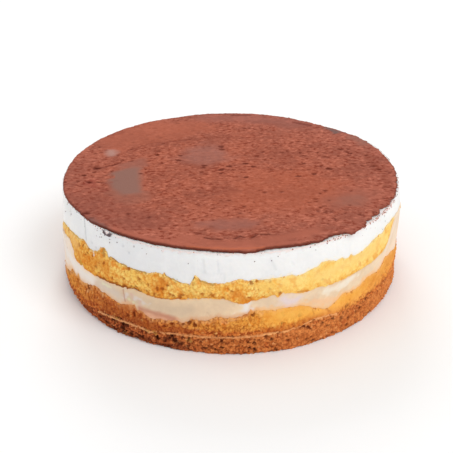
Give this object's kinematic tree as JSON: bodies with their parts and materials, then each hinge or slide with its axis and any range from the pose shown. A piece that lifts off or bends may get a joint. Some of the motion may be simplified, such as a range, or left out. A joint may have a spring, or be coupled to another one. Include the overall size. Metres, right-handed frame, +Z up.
{
  "type": "banoffee cake",
  "caption": "Round uncut layer cake: crumb base, dark and golden sponge with a pale filling between, thick white cream and a sheet of cocoa on top.",
  "frame": {"origin": "middle of the flat underside, where the cake rests", "axes": "+Z up along the cake's axis; the side towards the picture's camera faces -Y, with +X to its right"},
  "size_m": [0.2313, 0.2314, 0.068],
  "materials": {
    "crumb": "coarse open baked crumb, brown, dull",
    "dark_sponge": "open baked sponge, orange brown, dull",
    "filling": "smooth pale beige cream, softly moist",
    "golden_sponge": "fine baked sponge, golden yellow, dull",
    "cream": "smooth white cream, softly moist",
    "cocoa": "fine lumpy cocoa powder, reddish brown, dull"
  },
  "bodies": {
    "root": {"crumb_base": "crumb", "sponge_lower": "dark_sponge", "cream_filling": "filling", "sponge_upper": "golden_sponge", "cream_top": "cream", "cocoa_top": "cocoa"}
  },
  "joints": []
}
